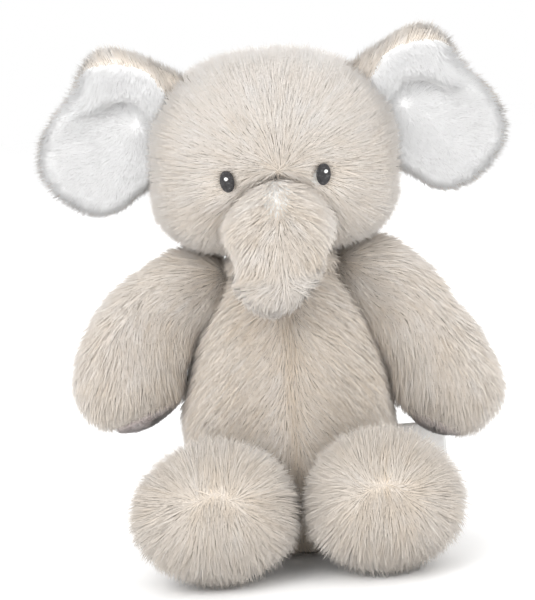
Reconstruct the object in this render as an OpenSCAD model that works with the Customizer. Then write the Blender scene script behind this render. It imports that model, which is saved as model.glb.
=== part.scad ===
// Seated plush elephant: sewn skins over soft fillings, with the limbs, head, trunk, ears and tail hinged at seams.
// +Z is up, the toy faces -Y, its own left is +X, and the origin is the middle of the seat on the surface.

/* [Skin and gaps] */
// Thickness of the plush skin, backing and pressed pile together
skin = 2.5; // [2:0.1:3]
// Air between two pieces that move against each other
gap = 0.4; // [0.3:0.1:0.6]

/* [Torso] */
// Half width of the torso at its widest
torso_r = 48; // [46:0.5:49]
// Height of the widest level above the seat
torso_waist_z = 58; // [54:1:62]
// Rise from the widest level to the rounded top, before the neck is cut
torso_up = 98; // [94:1:100]
// Height at which the neck seam cuts the torso
neck_z = 146; // [144:1:147]

/* [Head] */
// Half width of the head, from cheek to cheek
head_half_w = 59; // [57:0.5:61]
// Radius of the head seen from the side
head_r = 48.5; // [48:0.25:49]
// Height of the head's middle above the seat
head_z = 202; // [201:0.5:203]

/* [Face] */
// Distance of each eye from the middle of the face
eye_x = 23.6; // [22:0.2:25]
// Height of the eyes above the seat
eye_z = 194; // [192:0.5:197]
// Width of an embroidered eye
eye_w = 7.6; // [6:0.2:9]
// Height of an embroidered eye
eye_h = 11; // [9:0.2:12]
// Radius of the trunk at its seam on the face
trunk_root_r = 21; // [19:0.5:21]
// Radius of the trunk at its tip
trunk_tip_r = 12.5; // [10:0.5:13]

/* [Ears] */
// Radius of the round ear
ear_r = 40; // [38:0.5:42]
// Radius of the dish that the ear is curved to
ear_dish_r = 95; // [85:1:120]
// Thickness of the ear's plush back
ear_back_t = 4; // [3:0.5:4.5]
// Thickness of the ear's lining
ear_lining_t = 2.4; // [2:0.2:3]

/* [Arms] */
// Radius of the arm at the shoulder seam
shoulder_r = 16; // [14:0.5:16.5]
// Radius of the rounded hand
hand_r = 24; // [22:0.5:25]
// How much the left arm rests above its hanging line, in degrees
left_arm_up = -2; // [-2:1:6]
// How much the right arm rests above its hanging line, in degrees
right_arm_up = 5; // [-2:1:6]
// How much further down the left arm reaches
left_arm_drop = 8; // [0:1:9]
// How much further down the right arm reaches
right_arm_drop = 1; // [0:1:9]
// Thickness of the paw pad
pad_t = 1.2; // [0.8:0.1:1.5]

/* [Legs] */
// Radius of the leg at the hip seam
hip_r = 24; // [22:0.5:24.5]
// Radius of the round foot
foot_r = 33; // [31:0.5:33.5]
// Distance from the hip to the middle of the foot
leg_length = 48; // [46:0.5:52]
// Angle by which each leg points outwards, in degrees
leg_splay = 11; // [10:0.5:14]

/* [Tail and label] */
// Length of the tail from its root to the middle of the tuft
tail_length = 26; // [20:1:27]
// Radius of the tail
tail_r = 4.5; // [3.5:0.25:5]
// How far the label stands out of the side seam
label_length = 32; // [24:1:36]
// Width of the label's ribbon
label_width = 18; // [12:1:18]

/* [Hidden] */

CREAM = "#D9CFC4";
WHITE = "#F0EEEC";
FIBRE = "#F7F5F0";
CHARCOAL = "#3A3D42";
MAUVE = "#8F8489";
EXACT = 64;
FIT = 0.15; // air between pieces of one body that only rest against each other
OUTLINE_STEPS = 28;
TUBE_SIDES = 20;
TUBE_STEPS = 8;
CAP_STEPS = 4;

torso_down = 66;
seat_power = 2.6; // fuller than an ellipse, where the seat spreads
shoulder_power = 2;
cheek_power = 2.3; // fuller than an ellipse, where the cheeks fill out
head_y = -4;
neck_pivot = [0, 0, 140];
neck_r = 20;
shoulder = [40.5, 0, 135];
hip = [30, -28, foot_r + 0.3];
function arm_path(drop) = [shoulder, [58, -2, 133], [77, -4, 117 - 0.7 * drop], [79, -5, 91 - drop]];
arm_swell = 0.8; // the arm thickens early
trunk_swell = 1.1; // and the trunk thins late
trunk_root = [0, -42, 175];
trunk_path = [trunk_root, [0, -60, 168], [-1, -69, 157], [-4, -64, 145]];
bag_middle = [0, 17, 17.5];
bag_size = [24, 15, 12.5];
tail_root = [0, 52.6, 42];
tail_drop = 123; // angle between straight up and the tail, in degrees
tuft_r = 8;
tuft_long = 12;
ear_root = [47, 3, 212];
ear_lean = -24.5; // tilt of the ear's seam from upright, in degrees
ear_sweep = 8; // how far the ear's flat turns back, in degrees
ear_middle = [33, 0, -8]; // middle of the round ear from the middle of its seam
ear_clear = 3.4; // air between the ear's root and the head, for the flap
cheek_middle = [9, -4, 203]; // middle of a ball that fits the side of the head
cheek_r = 50;
eye_turn = 19; // how far the cheek turns the eye outwards, in degrees
eye_tip = 10; // how far the cheek turns the eye downwards, in degrees
eye_bulge = 1.6;
stitch_r = 0.4;
thread_r = 0.6;
thread_z = neck_z + 2.4;
neck_ring_r = sqrt(neck_r * neck_r - pow(thread_z - neck_pivot[2], 2)) - thread_r;
ribbon_t = 0.5;
label_root = [45.5, 16, 51];

function mix(a, b, t) = a + (b - a) * t;
function unit(v) = v / norm(v);
function egg_radius(r, rise, power, dz) = r * pow(1 - pow(abs(dz) / rise, power), 1 / power);
function egg_outline(r, up, down, up_power, down_power) = [
    for (i = [0 : OUTLINE_STEPS])
        let (
            a = -90 + 180 * i / OUTLINE_STEPS,
            power = a < 0 ? down_power : up_power,
            rise = a < 0 ? down : up
        )
        [r * pow(cos(a), 2 / power), sign(a) * rise * pow(abs(sin(a)), 2 / power)]
];
function bezier(p, t) = pow(1 - t, 3) * p[0] + 3 * pow(1 - t, 2) * t * p[1]
    + 3 * (1 - t) * t * t * p[2] + pow(t, 3) * p[3];
function bezier_dir(p, t) = unit(pow(1 - t, 2) * (p[1] - p[0]) + 2 * (1 - t) * t * (p[2] - p[1])
    + t * t * (p[3] - p[2]));
function ring(centre, dir, r) =
    let (side = unit(cross(dir, [0.03, 1, 0.02])), other = cross(dir, side))
    [for (k = [0 : TUBE_SIDES - 1]) let (a = 360 * k / TUBE_SIDES) centre + r * (cos(a) * side + sin(a) * other)];

// Closed egg of revolution about Z, with its own fullness above and below its widest level
module egg(r, up, down, up_power, down_power) {
    rotate_extrude($fn = EXACT)
        polygon(egg_outline(r, up, down, up_power, down_power));
}

// Tapered tube with round ends along a curve; a swell below 1 changes its thickness early, above 1 late
module soft_tube(path, r_start, r_end, swell) {
    start_dir = bezier_dir(path, 0);
    end_dir = bezier_dir(path, 1);
    rings = concat(
        [for (i = [1 : CAP_STEPS - 1]) let (a = -90 + 90 * i / CAP_STEPS)
            ring(path[0] + start_dir * r_start * sin(a), start_dir, r_start * cos(a))],
        [for (i = [0 : TUBE_STEPS]) let (t = i / TUBE_STEPS)
            ring(bezier(path, t), bezier_dir(path, t), mix(r_start, r_end, pow(t, swell)))],
        [for (i = [1 : CAP_STEPS - 1]) let (a = 90 * i / CAP_STEPS)
            ring(path[3] + end_dir * r_end * sin(a), end_dir, r_end * cos(a))]
    );
    count = len(rings);
    points = concat(
        [path[0] - start_dir * r_start],
        [for (r = rings) for (p = r) p],
        [path[3] + end_dir * r_end]
    );
    last = len(points) - 1;
    polyhedron(points, concat(
        [for (k = [0 : TUBE_SIDES - 1]) [0, 1 + k, 1 + (k + 1) % TUBE_SIDES]],
        [for (i = [0 : count - 2]) for (k = [0 : TUBE_SIDES - 1])
            let (a = 1 + i * TUBE_SIDES + k, b = 1 + i * TUBE_SIDES + (k + 1) % TUBE_SIDES)
            [a, a + TUBE_SIDES, b + TUBE_SIDES]],
        [for (i = [0 : count - 2]) for (k = [0 : TUBE_SIDES - 1])
            let (a = 1 + i * TUBE_SIDES + k, b = 1 + i * TUBE_SIDES + (k + 1) % TUBE_SIDES)
            [a, b + TUBE_SIDES, b]],
        [for (k = [0 : TUBE_SIDES - 1])
            [last, last - TUBE_SIDES + (k + 1) % TUBE_SIDES, last - TUBE_SIDES + k]]
    ));
}

// Body of the torso, drawn in by a wall thickness
module torso_form(wall) {
    difference() {
        translate([0, 0, torso_waist_z])
            egg(torso_r - wall, torso_up - wall, torso_down - wall, shoulder_power, seat_power);
        translate([-100, -100, wall - 100])
            cube([200, 200, 100]);
        translate([-100, -100, neck_z - wall])
            cube([200, 200, 100]);
        for (side = [-1, 1]) {
            translate([side * shoulder[0], shoulder[1], shoulder[2]])
                sphere(shoulder_r + gap + wall, $fn = EXACT);
            translate([side * hip[0], hip[1], hip[2]])
                sphere(hip_r + gap + wall, $fn = EXACT);
        }
    }
}

// Round head, turned about the line through both cheeks
module head_egg(wall) {
    translate([0, head_y, head_z])
        rotate([0, 90, 0])
            egg(head_r - wall, head_half_w - wall, head_half_w - wall, cheek_power, cheek_power);
}

// Body of the head, drawn in by a wall thickness
module head_form(wall) {
    difference() {
        head_egg(wall);
        translate(neck_pivot)
            sphere(neck_r + gap + wall, $fn = EXACT);
        translate(trunk_root)
            sphere(trunk_root_r + gap + wall, $fn = EXACT);
    }
}

module trunk_form(wall) {
    soft_tube(trunk_path, trunk_root_r - wall, trunk_tip_r - wall, trunk_swell);
}

// Moves an arm drawn on the left into place on either side
module at_shoulder(side, up) {
    mirror([side < 0 ? 1 : 0, 0, 0])
        translate(shoulder)
            rotate([0, -up, 0])
                translate(-shoulder)
                    children();
}

module arm_form(drop, wall) {
    soft_tube(arm_path(drop), shoulder_r - wall, hand_r - wall, arm_swell);
}

// Thin cap of suede under the hand, towards the body
module paw_pad(drop) {
    color(MAUVE)
        translate(arm_path(drop)[3])
            rotate([0, 210, 0])
                intersection() {
                    difference() {
                        sphere(hand_r + pad_t + FIT, $fn = EXACT);
                        sphere(hand_r + FIT, $fn = EXACT);
                    }
                    cylinder(h = 60, r1 = 0, r2 = 50, $fn = EXACT);
                }
}

// Ball at the hip, drawn in to a gathered seam, then the thigh widening into the round foot
function leg_outline(wall) =
    let (
        waist = 50, // angle at which the hip ball gives way to the thigh
        swell = -32, // angle at which the thigh meets the round foot
        root = hip_r - wall,
        foot = foot_r - wall
    )
    concat(
        [for (i = [0 : 12]) let (a = mix(-90, waist, i / 12)) [root * cos(a), root * sin(a)]],
        [for (i = [0 : 12]) let (a = mix(swell, 90, i / 12)) [foot * cos(a), leg_length + foot * sin(a)]]
    );

module leg_form(side, wall) {
    translate([side * hip[0], hip[1], hip[2]])
        rotate([90, 0, side * leg_splay])
            rotate_extrude($fn = EXACT)
                polygon(leg_outline(wall));
}

// Moves an ear drawn in its own flat into place on the left
module at_ear() {
    translate(ear_root)
        rotate([0, ear_lean, ear_sweep])
            children();
}

// Slice of a round dish that opens forwards, from one depth to another, clear of the head
module ear_layer(from, to) {
    difference() {
        at_ear()
            intersection() {
                translate([ear_middle[0], 20, ear_middle[2]])
                    rotate([90, 0, 0])
                        cylinder(h = 60, r = ear_r, $fn = EXACT);
                translate([ear_middle[0], -ear_dish_r, ear_middle[2]])
                    difference() {
                        sphere(ear_dish_r + to, $fn = EXACT);
                        sphere(ear_dish_r + from, $fn = EXACT);
                    }
            }
        translate(cheek_middle)
            sphere(cheek_r + ear_clear, $fn = EXACT);
    }
}

module ear_back(side) {
    color(CREAM)
        mirror([side < 0 ? 1 : 0, 0, 0])
            ear_layer(0, ear_back_t);
}

module ear_lining(side) {
    color(WHITE)
        mirror([side < 0 ? 1 : 0, 0, 0])
            ear_layer(-ear_lining_t - FIT, -FIT);
}

// How far forward the face lies at a given distance to the side and height
function face_y(x, z) =
    let (r = egg_radius(head_r, head_half_w, cheek_power, x))
    head_y - sqrt(r * r - pow(z - head_z, 2));

// Puts a flat-backed piece on the cheek, its back just outside the skin
module at_eye(side) {
    translate([side * eye_x, face_y(eye_x, eye_z), eye_z])
        rotate([eye_tip, 0, side * eye_turn])
            translate([0, -FIT, 0])
                children();
}

module half_dome(w, h, bulge) {
    intersection() {
        scale([w / 2, bulge, h / 2])
            sphere(1, $fn = EXACT);
        translate([-w, -w, -h])
            cube([2 * w, w, 2 * h]);
    }
}

module eye(side) {
    color(CHARCOAL)
        at_eye(side)
            half_dome(eye_w, eye_h, eye_bulge);
}

module eye_highlight(side) {
    color(WHITE)
        at_eye(side)
            translate([0.4, -eye_bulge - FIT, eye_h * 0.16])
                half_dome(2.2, 2, 0.5);
}

module torso_skin() {
    color(CREAM)
        difference() {
            torso_form(0);
            torso_form(skin);
        }
}

module bag_form(grow) {
    translate(bag_middle)
        scale(bag_size / bag_size[0])
            sphere(bag_size[0] + grow, $fn = EXACT);
}

module torso_filling() {
    color(FIBRE)
        difference() {
            torso_form(skin + FIT);
            bag_form(0.5);
        }
}

module pellet_bag() {
    color(WHITE)
        difference() {
            bag_form(0);
            bag_form(-1);
        }
}

module pellets() {
    color("#DDE4EA")
        bag_form(-1.3);
}

// Ladder stitches that close the torso down the middle of the back
module closing_stitches() {
    color(WHITE)
        for (z = [68 : 4 : 116])
            translate([-1.6, egg_radius(torso_r, torso_up, shoulder_power, z - torso_waist_z) + 0.6, z])
                rotate([0, 90, 0])
                    cylinder(h = 3.2, r = stitch_r, $fn = 24);
}

// Folded ribbon that stands out of the side seam, blank on both faces
module side_label() {
    color("#F4F2F0")
        translate([label_root[0], label_root[1], label_root[2] - label_width / 2])
            linear_extrude(label_width)
                difference() {
                    union() {
                        translate([0, -3 * ribbon_t])
                            square([label_length, 6 * ribbon_t]);
                        translate([label_length, 0])
                            circle(3 * ribbon_t, $fn = EXACT);
                    }
                    translate([ribbon_t, -2 * ribbon_t])
                        square([label_length - ribbon_t, 4 * ribbon_t]);
                    translate([label_length, 0])
                        circle(2 * ribbon_t, $fn = EXACT);
                }
}

module neck_ball() {
    difference() {
        translate(neck_pivot)
            sphere(neck_r, $fn = EXACT);
        translate([-50, -50, neck_z + gap - 100])
            cube([100, 100, 100]);
    }
}

module thread_ring(r) {
    translate([0, 0, thread_z])
        rotate_extrude($fn = EXACT)
            translate([neck_ring_r, 0])
                circle(r, $fn = 24);
}

module neck_filling() {
    color(FIBRE)
        difference() {
            neck_ball();
            thread_ring(thread_r + 0.1);
        }
}

module neck_thread() {
    color(WHITE)
        thread_ring(thread_r);
}

module head_skin() {
    color(CREAM)
        difference() {
            head_form(0);
            head_form(skin);
        }
}

module head_filling() {
    color(FIBRE)
        head_form(skin + FIT);
}

module trunk_skin() {
    color(CREAM)
        difference() {
            trunk_form(0);
            trunk_form(skin);
        }
}

module trunk_filling() {
    color(FIBRE)
        trunk_form(skin + FIT);
}

module arm_skin(side, up, drop) {
    color(CREAM)
        at_shoulder(side, up)
            difference() {
                arm_form(drop, 0);
                arm_form(drop, skin);
            }
}

module arm_filling(side, up, drop) {
    color(FIBRE)
        at_shoulder(side, up)
            arm_form(drop, skin + FIT);
}

module leg_skin(side) {
    color(CREAM)
        difference() {
            leg_form(side, 0);
            leg_form(side, skin);
        }
}

module leg_filling(side) {
    color(FIBRE)
        leg_form(side, skin + FIT);
}

module tail_skin() {
    color(CREAM)
        translate(tail_root)
            rotate([-tail_drop, 0, 0]) {
                sphere(tail_r, $fn = EXACT);
                cylinder(h = tail_length - tuft_long - FIT + 2, r = tail_r, $fn = EXACT);
            }
}

module tail_tuft() {
    color(CREAM)
        difference() {
            translate(tail_root)
                rotate([-tail_drop, 0, 0])
                    translate([0, 0, tail_length])
                        scale([1, 1, tuft_long / tuft_r])
                            sphere(tuft_r, $fn = EXACT);
            translate(tail_root)
                rotate([-tail_drop, 0, 0])
                    cylinder(h = tail_length - tuft_long + 2, r = tail_r + FIT, $fn = EXACT);
        }
}

torso_skin();
torso_filling();
pellet_bag();
pellets();
closing_stitches();
side_label();
neck_filling();
neck_thread();
head_skin();
head_filling();
eye(1);  // left_eye
eye_highlight(1);  // left_eye_highlight
eye(-1);  // right_eye
eye_highlight(-1);  // right_eye_highlight
trunk_skin();
trunk_filling();
ear_back(1);  // left_ear_back
ear_lining(1);  // left_ear_lining
ear_back(-1);  // right_ear_back
ear_lining(-1);  // right_ear_lining
arm_skin(1, left_arm_up, left_arm_drop);  // left_arm_skin
arm_filling(1, left_arm_up, left_arm_drop);  // left_arm_filling
at_shoulder(1, left_arm_up) paw_pad(left_arm_drop);  // left_paw_pad
arm_skin(-1, right_arm_up, right_arm_drop);  // right_arm_skin
arm_filling(-1, right_arm_up, right_arm_drop);  // right_arm_filling
at_shoulder(-1, right_arm_up) paw_pad(right_arm_drop);  // right_paw_pad
leg_skin(1);  // left_leg_skin
leg_filling(1);  // left_leg_filling
leg_skin(-1);  // right_leg_skin
leg_filling(-1);  // right_leg_filling
tail_skin();
tail_tuft();
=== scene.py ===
"""A sitting plush elephant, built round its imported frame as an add-on of one operator per piece."""

import math

import bmesh
import bpy
import numpy as np
from bpy.props import FloatProperty, FloatVectorProperty, IntProperty, PointerProperty
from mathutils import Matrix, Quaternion, Vector, noise
from mathutils.bvhtree import BVHTree


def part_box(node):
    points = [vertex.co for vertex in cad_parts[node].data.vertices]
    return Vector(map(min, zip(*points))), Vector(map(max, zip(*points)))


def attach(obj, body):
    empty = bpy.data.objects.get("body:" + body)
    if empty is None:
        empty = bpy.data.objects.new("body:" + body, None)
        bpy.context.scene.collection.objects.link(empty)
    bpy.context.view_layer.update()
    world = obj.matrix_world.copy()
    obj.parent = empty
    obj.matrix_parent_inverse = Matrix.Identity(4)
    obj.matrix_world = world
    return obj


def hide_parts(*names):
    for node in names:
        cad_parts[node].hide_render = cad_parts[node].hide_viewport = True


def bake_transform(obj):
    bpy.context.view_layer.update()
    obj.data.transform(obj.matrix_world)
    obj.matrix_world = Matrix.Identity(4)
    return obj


bl_info = {
    "name": "Plush elephant",
    "version": (1, 0, 0),
    "blender": (4, 5, 0),
    "location": "3D View > Sidebar > Plush elephant",
    "description": "Makes a sitting plush elephant with long pile, piece by piece",
    "category": "Object",
}

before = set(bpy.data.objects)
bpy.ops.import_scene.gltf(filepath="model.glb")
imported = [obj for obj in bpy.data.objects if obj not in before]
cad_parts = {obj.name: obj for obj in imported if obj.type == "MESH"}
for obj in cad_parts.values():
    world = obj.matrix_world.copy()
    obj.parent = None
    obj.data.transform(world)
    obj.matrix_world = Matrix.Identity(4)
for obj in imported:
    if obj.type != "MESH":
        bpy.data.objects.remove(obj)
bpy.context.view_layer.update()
MM = 0.001
SIDES = (("left", 1), ("right", -1))
SKIN = 0.0034  # how far each cover stands off its filling
# Where each cover's seam starts and ends.
NECK_SEAM = ((0, 0, 0.147), (0, 0, 0.156))
TRUNK_SEAM = ((0, -0.040, 0.180), (0, -0.058, 0.165))
TAIL_SEAM = ((0, 0.048, 0.044), (0, 0.058, 0.036))
BLACK, WHITE = (0, 0, 0), (1, 1, 1)


# ---------------------------------------------------------------- settings


def length(name, default, low, high, description):
    return FloatProperty(
        name=name, description=description, default=default, min=low, max=high,
        subtype="DISTANCE", unit="LENGTH",
    )


def colour(name, default, description):
    return FloatVectorProperty(
        name=name, description=description, default=default, size=3,
        min=0, max=1, subtype="COLOR",
    )


class PlushSizes(bpy.types.PropertyGroup):
    """Sizes of the pile, the padding and the sewn details."""

    pile: length("Body pile", 0.0104, 0.003, 0.02, "How long the body's pile is")
    ear_pile: length("Ear pile", 0.0048, 0.002, 0.012, "How long the ear lining's pile is")
    strand: length("Strand width", 0.0004, 0.0002, 0.002, "Width of one lock of pile at its root")
    density: IntProperty(
        name="Pile density", description="Locks of pile on a square metre",
        default=1600000, min=50000, max=5000000,
    )
    voxel: length("Fabric grid", 0.0045, 0.004, 0.006, "Grid of the padded fabric before it swells")
    swell: length("Most swelling", 0.0016, 0, 0.01, "How far the filling may push the fabric out")
    ear_thick: length("Ear thickness", 0.0075, 0.003, 0.012, "Thickness of the padded ear")
    seed: IntProperty(
        name="Seed", description="Start of the random draws", default=11, min=0, max=9999
    )


class PlushColours(bpy.types.PropertyGroup):
    """Colours of the fabrics and threads."""

    tan: colour("Tan", (0.74, 0.63, 0.51), "Deepest shade of the cream pile")
    cream: colour("Cream", (0.80, 0.73, 0.655), "Middle shade of the cream pile")
    ivory: colour("Ivory", (0.86, 0.83, 0.80), "Lightest shade of the cream pile")
    lining: colour("Lining", (0.93, 0.928, 0.925), "The ear lining's white")
    mauve: colour("Mauve", (0.50, 0.43, 0.415), "The paw pads' suede")
    charcoal: colour("Charcoal", (0.045, 0.043, 0.045), "The eyes' thread")
    floor: colour("Floor", (0.97, 0.97, 0.97), "The floor")


def sizes():
    return bpy.context.scene.elephant_sizes


def colours():
    return bpy.context.scene.elephant_colours


def between(a, b, share):
    """The colour at that share of the way from a to b."""
    return tuple(x + (y - x) * share for x, y in zip(a, b))


# ---------------------------------------------------------------- node trees


class Wire:
    """A node's output in its tree, so that sums on it read as sums."""

    def __init__(self, bench, socket):
        self.bench, self.socket = bench, socket

    def sum(self, operation, *values):
        node = {i: v for i, v in enumerate(values)}
        return self.bench.add("ShaderNodeMath", {"operation": operation}, node)

    def __add__(self, other):
        return self.sum("ADD", self, other)

    def __sub__(self, other):
        return self.sum("SUBTRACT", self, other)

    def __mul__(self, other):
        return self.sum("MULTIPLY", self, other)

    def __truediv__(self, other):
        return self.sum("DIVIDE", self, other)

    def __pow__(self, other):
        return self.sum("POWER", self, other)

    def __rsub__(self, other):
        return self.sum("SUBTRACT", other, self)

    def __rtruediv__(self, other):
        return self.sum("DIVIDE", other, self)

    __radd__ = __add__
    __rmul__ = __mul__

    def clamped(self, low, high):
        return self.sum("MAXIMUM", self.sum("MINIMUM", self, high), low)


class Bench:
    """One node tree in the making."""

    def __init__(self, tree):
        self.tree = tree

    def add(self, kind, settings=None, sockets=None, out=0):
        """A node of that kind, with its settings, then its sockets' values or links. Gives one output."""
        node = self.tree.nodes.new(kind)
        for key, value in (settings or {}).items():
            if key == "stops":
                ramp = node.color_ramp
                for i, (at, shade) in enumerate(value):
                    stop = ramp.elements[i] if i < 2 else ramp.elements.new(at)
                    stop.position, stop.color = at, (*shade, 1)
            else:
                setattr(node, key, value)
        for key, value in (sockets or {}).items():
            self.plug(self.find(node.inputs, key), value)
        return Wire(self, self.find(node.outputs, out))

    @staticmethod
    def find(sockets, key):
        if isinstance(key, int):
            return sockets[key]
        return next(s for s in sockets if s.name == key and s.enabled)

    def plug(self, socket, value):
        if isinstance(value, Wire):
            self.tree.links.new(value.socket, socket)
        elif socket.type == "RGBA" and len(value) == 3:
            socket.default_value = (*value, 1)
        else:
            socket.default_value = value


def material(name, rough, sheen=0.0, paint=None, **flat):
    """A material on Principled. paint(bench, place) gives what varies over the surface."""
    made = bpy.data.materials.new(name)
    made.use_nodes = True
    bench = Bench(made.node_tree)
    shader = made.node_tree.nodes["Principled BSDF"]
    shader.inputs["Roughness"].default_value = rough
    shader.inputs["Specular IOR Level"].default_value = 0.18
    shader.inputs["Sheen Weight"].default_value = sheen
    shader.inputs["Sheen Roughness"].default_value = 0.6
    for key, value in flat.items():
        bench.plug(shader.inputs[key.replace("_", " ")], value)
    if paint:
        place = bench.add("ShaderNodeTexCoord", out="Object")
        for key, value in paint(bench, place).items():
            bench.plug(shader.inputs[key.replace("_", " ")], value)
    return made


def bumped(bench, height, strength, distance):
    return bench.add(
        "ShaderNodeBump", {}, {"Height": height, "Strength": strength, "Distance": distance},
        "Normal",
    )


def cloud(bench, place, scale, detail=3.0, rough=0.6):
    return bench.add(
        "ShaderNodeTexNoise", {},
        {"Vector": place, "Scale": scale, "Detail": detail, "Roughness": rough},
    )


def ramped(bench, factor, *stops):
    return bench.add("ShaderNodeValToRGB", {"stops": stops}, {"Fac": factor}, "Color")


def two_tone(bench, pattern, low, high, strength, depth):
    """Colour between two stops of a pattern, and the pattern's relief."""
    return {
        "Base_Color": ramped(bench, pattern, low, high),
        "Normal": bumped(bench, pattern, strength, depth),
    }


def ribs(bench, place, axis, scale, distortion=0.0):
    return bench.add(
        "ShaderNodeTexWave", {"bands_direction": axis},
        {"Vector": place, "Scale": scale, "Distortion": distortion}, "Fac",
    )


def backing_cloth(name, dark, light):
    """The knitted ground that the pile stands on."""

    def paint(bench, place):
        patches = cloud(bench, place, 42, 4)
        fibres = cloud(bench, place, 900, 2)
        mixed = patches * 0.65 + fibres * 0.35
        return {
            "Base_Color": ramped(bench, mixed, (0.32, dark), (0.68, light)),
            "Normal": bumped(bench, fibres, 0.6, 0.0006),
        }

    return material(name, 0.92, 0.3, paint)


def pile_shades(name, low, middle, high):
    """Six plain shades for locks of pile, from the deepest to the lightest."""
    made = []
    for i in range(6):
        share = i / 5
        if share < 0.5:
            shade = between(low, middle, share * 2)
        else:
            shade = between(middle, high, share * 2 - 1)
        made.append(material(f"{name}_{i + 1}", 0.75, 0.4, Base_Color=shade))
    return made


def cached(name, make, *values):
    """The material of that name, or materials that start with it, made at its first use."""
    store = cached.__dict__.setdefault("store", {})
    if name not in store:
        store[name] = make(name, *values)
    return store[name]


def cream_cloth():
    c = colours()
    # The ground is darker than the pile: painted shade at the roots of the pile.
    deep = between(BLACK, tuple(c.tan), 0.6)
    return cached("cream_ground", backing_cloth, deep, between(BLACK, tuple(c.cream), 0.7))


def cream_pile():
    c = colours()
    return cached("cream_pile", pile_shades, tuple(c.tan), tuple(c.cream), tuple(c.ivory))


def deep_pile():
    """The same pile a little deeper as painted shade, for the feet, which stand nearest the light."""
    c = colours()
    return cached(
        "deep_pile", pile_shades,
        *(between(BLACK, tuple(shade), 0.91) for shade in (c.tan, c.cream, c.ivory)),
    )


def lining_pile():
    white = tuple(colours().lining)
    return cached(
        "lining_pile", pile_shades, between(BLACK, white, 0.8),
        between(BLACK, white, 0.93), white,
    )


# ---------------------------------------------------------------- meshes


def mesh_object(name, points, faces):
    mesh = bpy.data.meshes.new(name)
    mesh.from_pydata([tuple(p) for p in points], [], [tuple(f) for f in faces])
    mesh.update()
    made = bpy.data.objects.new(name, mesh)
    bpy.context.scene.collection.objects.link(made)
    return made


def vertices(obj):
    co = np.empty(len(obj.data.vertices) * 3, np.float32)
    obj.data.vertices.foreach_get("co", co)
    return co.reshape(-1, 3).astype(float)


def normals(obj):
    no = np.empty(len(obj.data.vertices) * 3, np.float32)
    obj.data.vertices.foreach_get("normal", no)
    return no.reshape(-1, 3).astype(float)


def move_vertices(obj, points):
    obj.data.vertices.foreach_set("co", np.asarray(points, np.float32).ravel())
    obj.data.update()


def mark(obj, name, values):
    """Stores one number or one vector at each point of the mesh."""
    values = np.asarray(values, np.float32)
    kind, key = ("FLOAT", "value") if values.ndim == 1 else ("FLOAT_VECTOR", "vector")
    found = obj.data.attributes.new(name, kind, "POINT")
    found.data.foreach_set(key, values.ravel())


def smooth(obj):
    obj.data.polygons.foreach_set("use_smooth", [True] * len(obj.data.polygons))
    obj.data.update()
    return obj


def apply_modifiers(obj):
    """Puts the modifiers' result in the mesh and takes them off."""
    deps = bpy.context.evaluated_depsgraph_get()
    deps.update()
    mesh = bpy.data.meshes.new_from_object(obj.evaluated_get(deps))
    obj.modifiers.clear()
    old, obj.data = obj.data, mesh
    bpy.data.meshes.remove(old)
    return obj


def set_inputs(change, values):
    """Sets a Geometry Nodes modifier's inputs by name."""
    for socket in change.node_group.interface.items_tree:
        if socket.in_out == "INPUT" and socket.name in values:
            change[socket.identifier] = values[socket.name]


def outer_form(name, node, grow, grid=None):
    """A closed form that follows the outside of a CAD node, grown by that much."""
    bm = bmesh.new()
    bm.from_mesh(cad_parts[node].data)
    bmesh.ops.remove_doubles(bm, verts=bm.verts, dist=1e-6)
    left, shells = set(bm.verts), []
    while left:
        stack, shell = [left.pop()], []
        while stack:
            v = stack.pop()
            shell.append(v)
            for e in v.link_edges:
                w = e.other_vert(v)
                if w in left:
                    left.remove(w)
                    stack.append(w)
        shells.append(shell)

    def spread(shell):
        co = np.array([v.co for v in shell])
        return float(np.linalg.norm(co.max(0) - co.min(0)))

    keep = set(max(shells, key=spread))
    bmesh.ops.delete(bm, geom=[v for v in bm.verts if v not in keep], context="VERTS")
    bmesh.ops.recalc_face_normals(bm, faces=bm.faces)
    bm.normal_update()
    mesh = bpy.data.meshes.new(name)
    bm.to_mesh(mesh)
    bm.free()
    made = bpy.data.objects.new(name, mesh)
    bpy.context.scene.collection.objects.link(made)
    remesh(made, grid or sizes().voxel * 0.7)
    move_vertices(made, vertices(made) + normals(made) * grow)
    return made


def remesh(obj, voxel):
    change = obj.modifiers.new("grid", "REMESH")
    change.mode, change.voxel_size = "VOXEL", voxel
    change.use_smooth_shade = True
    return apply_modifiers(obj)


def relax(obj, rounds):
    change = obj.modifiers.new("relax", "SMOOTH")
    change.factor, change.iterations = 0.5, rounds
    return apply_modifiers(obj)


SWELL_FRAMES = 20


def swell(obj, cap):
    """Blows the fabric up like a filled cover: cloth under pressure, capped, then divided once."""
    remesh(obj, sizes().voxel)
    relax(obj, 3)
    rest = vertices(obj)
    scene = bpy.context.scene
    scene.frame_set(1)
    cloth = obj.modifiers.new("filling", "CLOTH")
    for key, value in (
        ("use_pressure", True), ("uniform_pressure_force", 4), ("quality", 4),
        ("tension_stiffness", 12), ("compression_stiffness", 12),
    ):
        setattr(cloth.settings, key, value)
    cloth.settings.effector_weights.gravity = 0
    cloth.collision_settings.use_collision = False
    cloth.point_cache.frame_start, cloth.point_cache.frame_end = 1, SWELL_FRAMES
    for step in range(1, SWELL_FRAMES + 1):
        scene.frame_set(step)
    apply_modifiers(obj)
    move = vertices(obj) - rest
    far = np.linalg.norm(move, axis=1, keepdims=True)
    move_vertices(obj, rest + move * np.minimum(1, cap / np.maximum(far, 1e-9)))
    scene.frame_set(1)
    change = obj.modifiers.new("finer", "SUBSURF")
    change.levels = change.render_levels = 1
    apply_modifiers(obj)
    return smooth(obj)


def lumps(points, size, seed):
    """Soft noise at each point, from about -1 to 1."""
    shift = Vector((seed * 7.1, seed * 3.3, seed * 5.7))
    return np.array([noise.noise(Vector(p) / size + shift) for p in points]) * 1.6


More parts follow.
